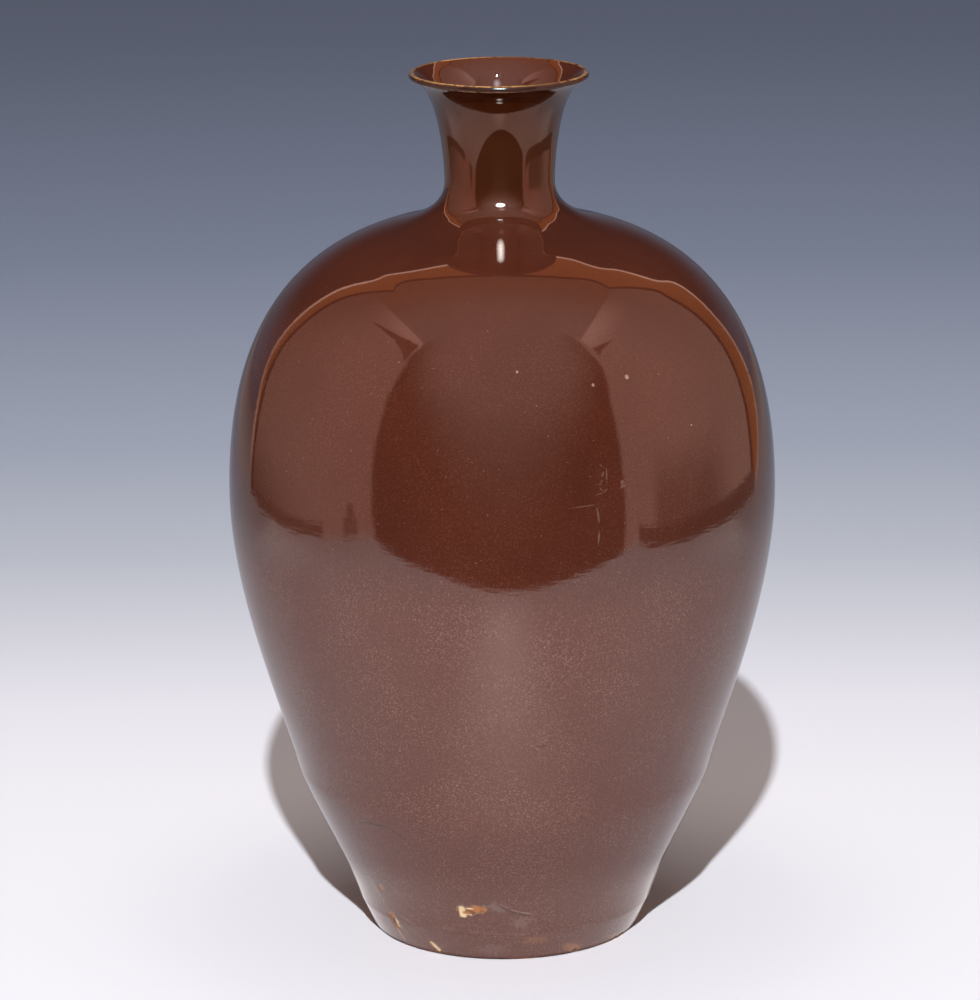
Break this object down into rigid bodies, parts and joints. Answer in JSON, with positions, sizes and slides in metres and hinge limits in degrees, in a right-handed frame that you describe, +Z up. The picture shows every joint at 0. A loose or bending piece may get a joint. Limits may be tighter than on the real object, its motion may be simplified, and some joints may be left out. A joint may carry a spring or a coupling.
{
  "type": "meiping vase",
  "caption": "High-shouldered stoneware vase with a short neck, flared lip and bevelled foot, luted from thrown sections and coated in glossy iron-brown glaze.",
  "frame": {"origin": "centre of the foot, on the surface that the vase stands on", "axes": "+Z up along the vase's axis of turning, from the foot to the mouth; X and Y are level"},
  "size_m": [0.1998, 0.1998, 0.32],
  "materials": {
    "body_clay": "matte",
    "luting_slip": "matte",
    "brown_glaze": "gloss",
    "thin_lip_glaze": "gloss",
    "inner_brown_glaze": "gloss"
  },
  "bodies": {
    "root": {"foot_section": "body_clay", "belly_section": "body_clay", "shoulder_section": "body_clay", "neck_section": "body_clay", "foot_joint_slip": "luting_slip", "belly_joint_slip": "luting_slip", "neck_joint_slip": "luting_slip", "outer_glaze": "brown_glaze", "lip_glaze": "thin_lip_glaze", "inner_glaze": "inner_brown_glaze"}
  },
  "joints": []
}
